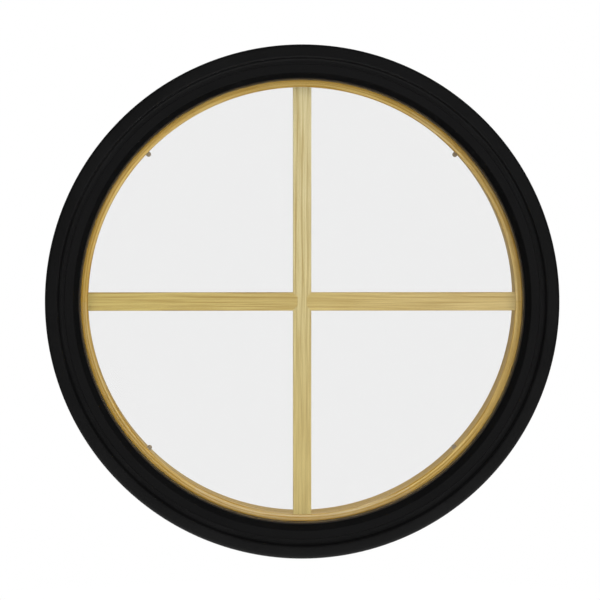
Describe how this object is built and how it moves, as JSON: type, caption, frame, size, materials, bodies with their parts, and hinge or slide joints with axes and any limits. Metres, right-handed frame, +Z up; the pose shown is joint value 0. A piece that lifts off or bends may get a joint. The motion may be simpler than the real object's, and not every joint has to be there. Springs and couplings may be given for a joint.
{
  "type": "fixed round window",
  "caption": "Fixed round window with a black clad exterior casing, sealed double glazing, a deep pine jamb and a clipped-in pine cross grille with a full surround.",
  "frame": {"origin": "on the window's axis, in the plane of the wall's outer face where the casing's foot lies", "axes": "+Y along the window's axis into the room, -Y outdoors, +Z up, +X to the right seen from outdoors"},
  "size_m": [0.6096, 0.1477, 0.6096],
  "materials": {
    "black_clad_metal": "satin black baked finish on extruded aluminium",
    "pine": "clear natural pine",
    "clear_glass": "clear float glass",
    "mill_aluminium": "mill finish",
    "black_rubber": "matt",
    "desiccant": "granules, modelled as one filling",
    "bronzed_steel": "bronzed sheet",
    "zinc_steel": "zinc plated"
  },
  "bodies": {
    "root": {"exterior_casing": "black_clad_metal", "casing_screws": "zinc_steel", "glazing_bead": "black_clad_metal", "bead_gasket": "black_rubber", "outer_pane": "clear_glass", "spacer_bar": "mill_aluminium", "desiccant_fill": "desiccant", "butyl_seals": "black_rubber", "edge_sealant": "black_rubber", "inner_pane": "clear_glass", "setting_block_left": "black_rubber", "setting_block_right": "black_rubber", "glazing_tape": "black_rubber", "jamb": "pine", "grille_surround": "pine", "grille_bar_vertical": "pine", "grille_bar_left": "pine", "grille_bar_right": "pine", "grille_dowels": "pine", "grille_clip_upper_left": "bronzed_steel", "grille_clip_upper_right": "bronzed_steel", "grille_clip_lower_left": "bronzed_steel", "grille_clip_lower_right": "bronzed_steel", "clip_screws": "zinc_steel"}
  },
  "joints": []
}
